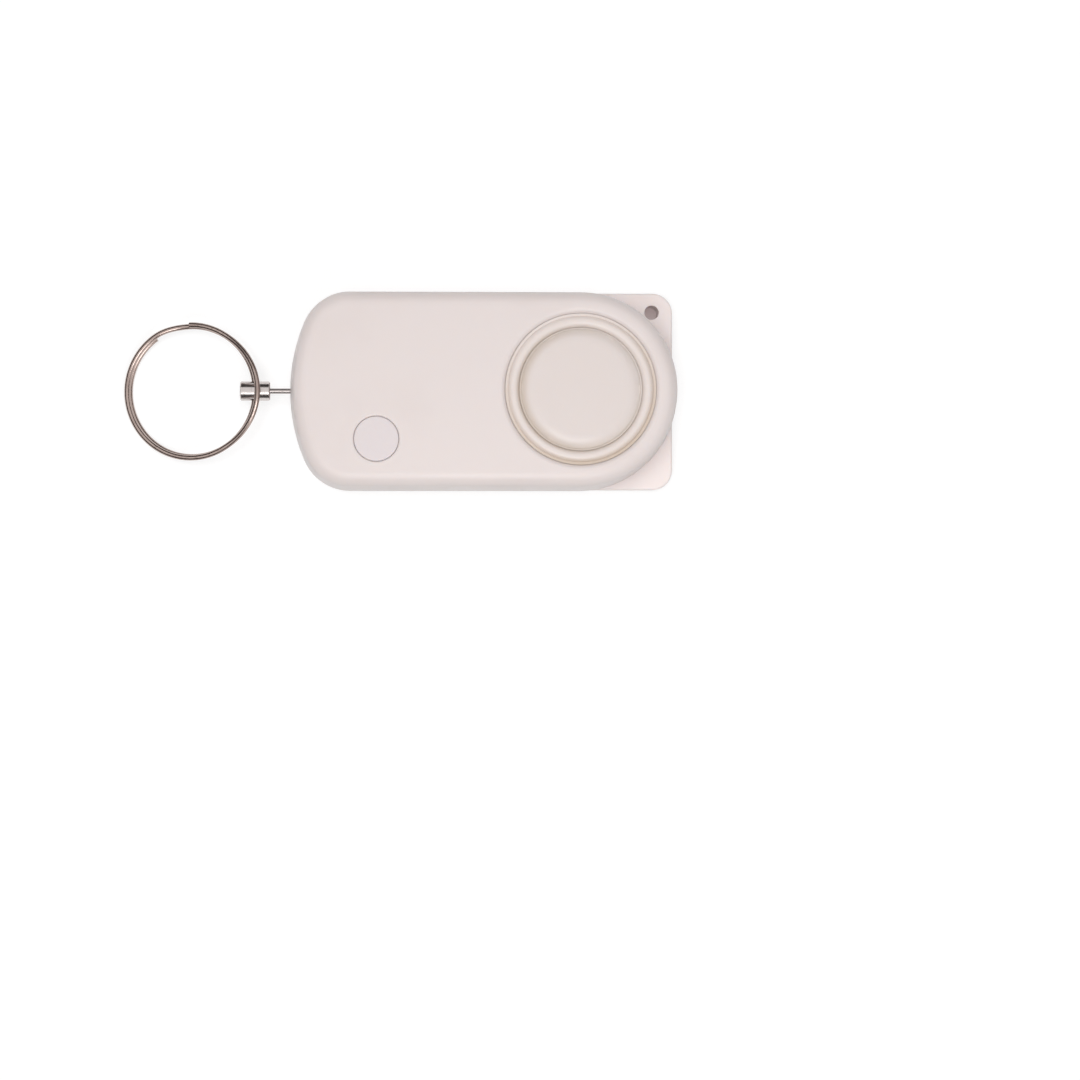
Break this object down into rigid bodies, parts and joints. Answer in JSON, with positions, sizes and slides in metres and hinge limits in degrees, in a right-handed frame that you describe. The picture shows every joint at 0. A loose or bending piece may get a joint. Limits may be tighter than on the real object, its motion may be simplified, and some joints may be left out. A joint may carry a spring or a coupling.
{
  "type": "personal alarm",
  "caption": "Pocket alarm: rounded plastic case with a round siren, flush push button, corner lamp, and a pull pin on a split key ring that sets the siren off.",
  "frame": {"origin": "centre of the case's flat back face", "axes": "+X along the case from the pull pin to the siren, +Z out of the front face, +Y across the case"},
  "size_m": [0.1002, 0.036, 0.0171],
  "materials": {
    "case_plastic": "satin moulded cream",
    "siren_plastic": "satin moulded cream, slightly warmer",
    "button_plastic": "satin moulded cream",
    "pin_steel": "polished nickel plate",
    "ring_steel": "polished nickel plate on spring steel",
    "screw_steel": "zinc plated",
    "cell_steel": "bright nickel",
    "contact_brass": "bright spring brass",
    "sounder_brass": "bare brass",
    "sounder_ceramic": "silvered piezo ceramic",
    "gasket_foam": "soft foam rubber",
    "seal_rubber": "black rubber",
    "board_laminate": "green solder mask",
    "chip_epoxy": "black moulding compound",
    "passive_ceramic": "chip ceramic",
    "switch_plastic": "black moulded",
    "switch_steel": "pressed sheet",
    "plunger_plastic": "black moulded",
    "coil_ferrite": "dark ferrite",
    "coil_copper": "enamelled copper wire",
    "can_aluminium": "sleeved can",
    "lead_tin": "tinned wire",
    "lamp_epoxy": "clear red epoxy",
    "socket_nylon": "natural nylon",
    "tip_nylon": "white nylon"
  },
  "bodies": {
    "case": {"front_shell": "case_plastic", "back_shell": "case_plastic", "siren_ring": "siren_plastic", "siren_cap": "siren_plastic", "siren_chamber": "siren_plastic", "case_screws": "screw_steel", "board_screws": "screw_steel", "piezo_plate": "sounder_brass", "piezo_ceramic": "sounder_ceramic", "piezo_gasket": "gasket_foam", "siren_leads": "lead_tin", "lamp_leads": "lead_tin", "switch_housing": "switch_plastic", "switch_cover": "switch_steel", "circuit_board": "board_laminate", "controller_chip": "chip_epoxy", "driver_transistor": "chip_epoxy", "chip_resistors": "passive_ceramic", "chip_capacitors": "passive_ceramic", "boost_coil_core": "coil_ferrite", "boost_coil_winding": "coil_copper", "storage_capacitor": "can_aluminium", "lamp": "lamp_epoxy", "battery_contact_positive": "contact_brass", "battery_contact_negative": "contact_brass", "coin_cell_1": "cell_steel", "coin_cell_2": "cell_steel", "pin_socket": "socket_nylon", "contact_leaf_upper": "contact_brass", "contact_leaf_lower": "contact_brass"},
    "pull_pin": {"pull_pin": "pin_steel", "pin_tip": "tip_nylon"},
    "ferrule": {"ferrule": "pin_steel"},
    "key_ring": {"split_ring": "ring_steel"},
    "button": {"push_button": "button_plastic"},
    "plunger": {"switch_plunger": "plunger_plastic"},
    "hatch": {"battery_hatch": "case_plastic", "hatch_seal": "seal_rubber"}
  },
  "joints": [
    {"name": "pin_pull", "type": "slide", "parent": "case", "child": "pull_pin", "axis": [-1, 0, 0], "range_m": [0, 0.015]},
    {"name": "ferrule_swivel", "type": "hinge", "parent": "pull_pin", "child": "ferrule", "pos_m": [-0.0413, 0, 0.006], "axis": [1, 0, 0], "continuous": true},
    {"name": "ring_swing", "type": "hinge", "parent": "ferrule", "child": "key_ring", "pos_m": [-0.0413, 0, 0.006], "axis": [0, 1, 0], "range_deg": [-30, 30]},
    {"name": "button_press", "type": "slide", "parent": "case", "child": "button", "axis": [0, 0, -1], "range_m": [0, 0.0004], "stiffness_N_per_m": 1500, "springref_m": -0.0003},
    {"name": "switch_press", "type": "slide", "parent": "case", "child": "plunger", "axis": [0, 0, -1], "range_m": [0, 0.0004]},
    {"name": "hatch_turn", "type": "hinge", "parent": "case", "child": "hatch", "pos_m": [-0.0125, 0, 0], "axis": [0, 0, -1], "range_deg": [0, 35]}
  ],
  "couplings": [
    {"joint": "switch_press", "follows": "button_press", "ratio": 1}
  ]
}
